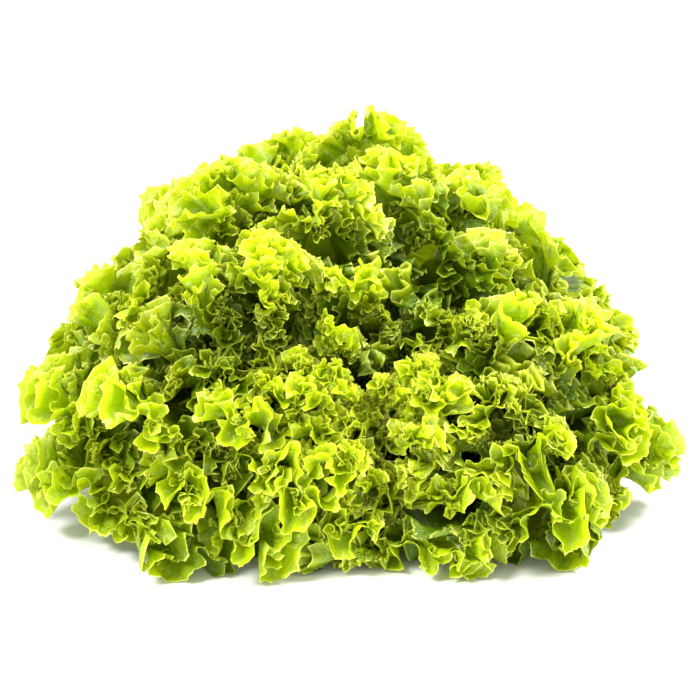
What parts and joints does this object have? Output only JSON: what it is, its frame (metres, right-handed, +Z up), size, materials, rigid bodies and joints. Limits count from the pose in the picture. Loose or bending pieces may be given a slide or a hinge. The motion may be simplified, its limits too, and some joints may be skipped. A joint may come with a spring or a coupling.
{
  "type": "lollo bionda lettuce head",
  "caption": "Whole head of frilled green leaf lettuce: leaves with waved, toothed margins in a spiral round a short cut stem, leaning forward so its sunken heart shows.",
  "frame": {"origin": "centre of the stem's flat cut face, which rests on the table", "axes": "+X along the head's widest side, +Z up, -Y towards the front that the heart leans to"},
  "size_m": [0.2801, 0.2469, 0.1638],
  "materials": {
    "leaf": "fresh, softly glossy yellow-green leaf with paler rims",
    "stem": "moist pale cut stem, darker at its cut face"
  },
  "bodies": {
    "root": {"cut_stem": "stem", "leaf_01": "leaf", "leaf_02": "leaf", "leaf_03": "leaf", "leaf_04": "leaf", "leaf_05": "leaf", "leaf_06": "leaf", "leaf_07": "leaf", "leaf_08": "leaf", "leaf_09": "leaf", "leaf_10": "leaf", "leaf_11": "leaf", "leaf_12": "leaf", "leaf_13": "leaf", "leaf_14": "leaf", "leaf_15": "leaf", "leaf_16": "leaf", "leaf_17": "leaf", "leaf_18": "leaf", "leaf_19": "leaf", "leaf_20": "leaf", "leaf_21": "leaf", "leaf_22": "leaf", "leaf_23": "leaf", "leaf_24": "leaf", "leaf_25": "leaf", "leaf_26": "leaf", "leaf_27": "leaf", "leaf_28": "leaf", "leaf_29": "leaf", "leaf_30": "leaf", "leaf_31": "leaf", "leaf_32": "leaf", "leaf_33": "leaf", "leaf_34": "leaf", "leaf_35": "leaf", "leaf_36": "leaf", "leaf_37": "leaf", "leaf_38": "leaf", "leaf_39": "leaf", "leaf_40": "leaf", "leaf_41": "leaf", "leaf_42": "leaf", "leaf_43": "leaf", "leaf_44": "leaf", "leaf_45": "leaf", "leaf_46": "leaf", "leaf_47": "leaf", "leaf_48": "leaf", "leaf_49": "leaf", "leaf_50": "leaf", "leaf_51": "leaf", "leaf_52": "leaf", "leaf_53": "leaf", "leaf_54": "leaf", "leaf_55": "leaf", "leaf_56": "leaf", "leaf_57": "leaf", "leaf_58": "leaf"}
  },
  "joints": []
}
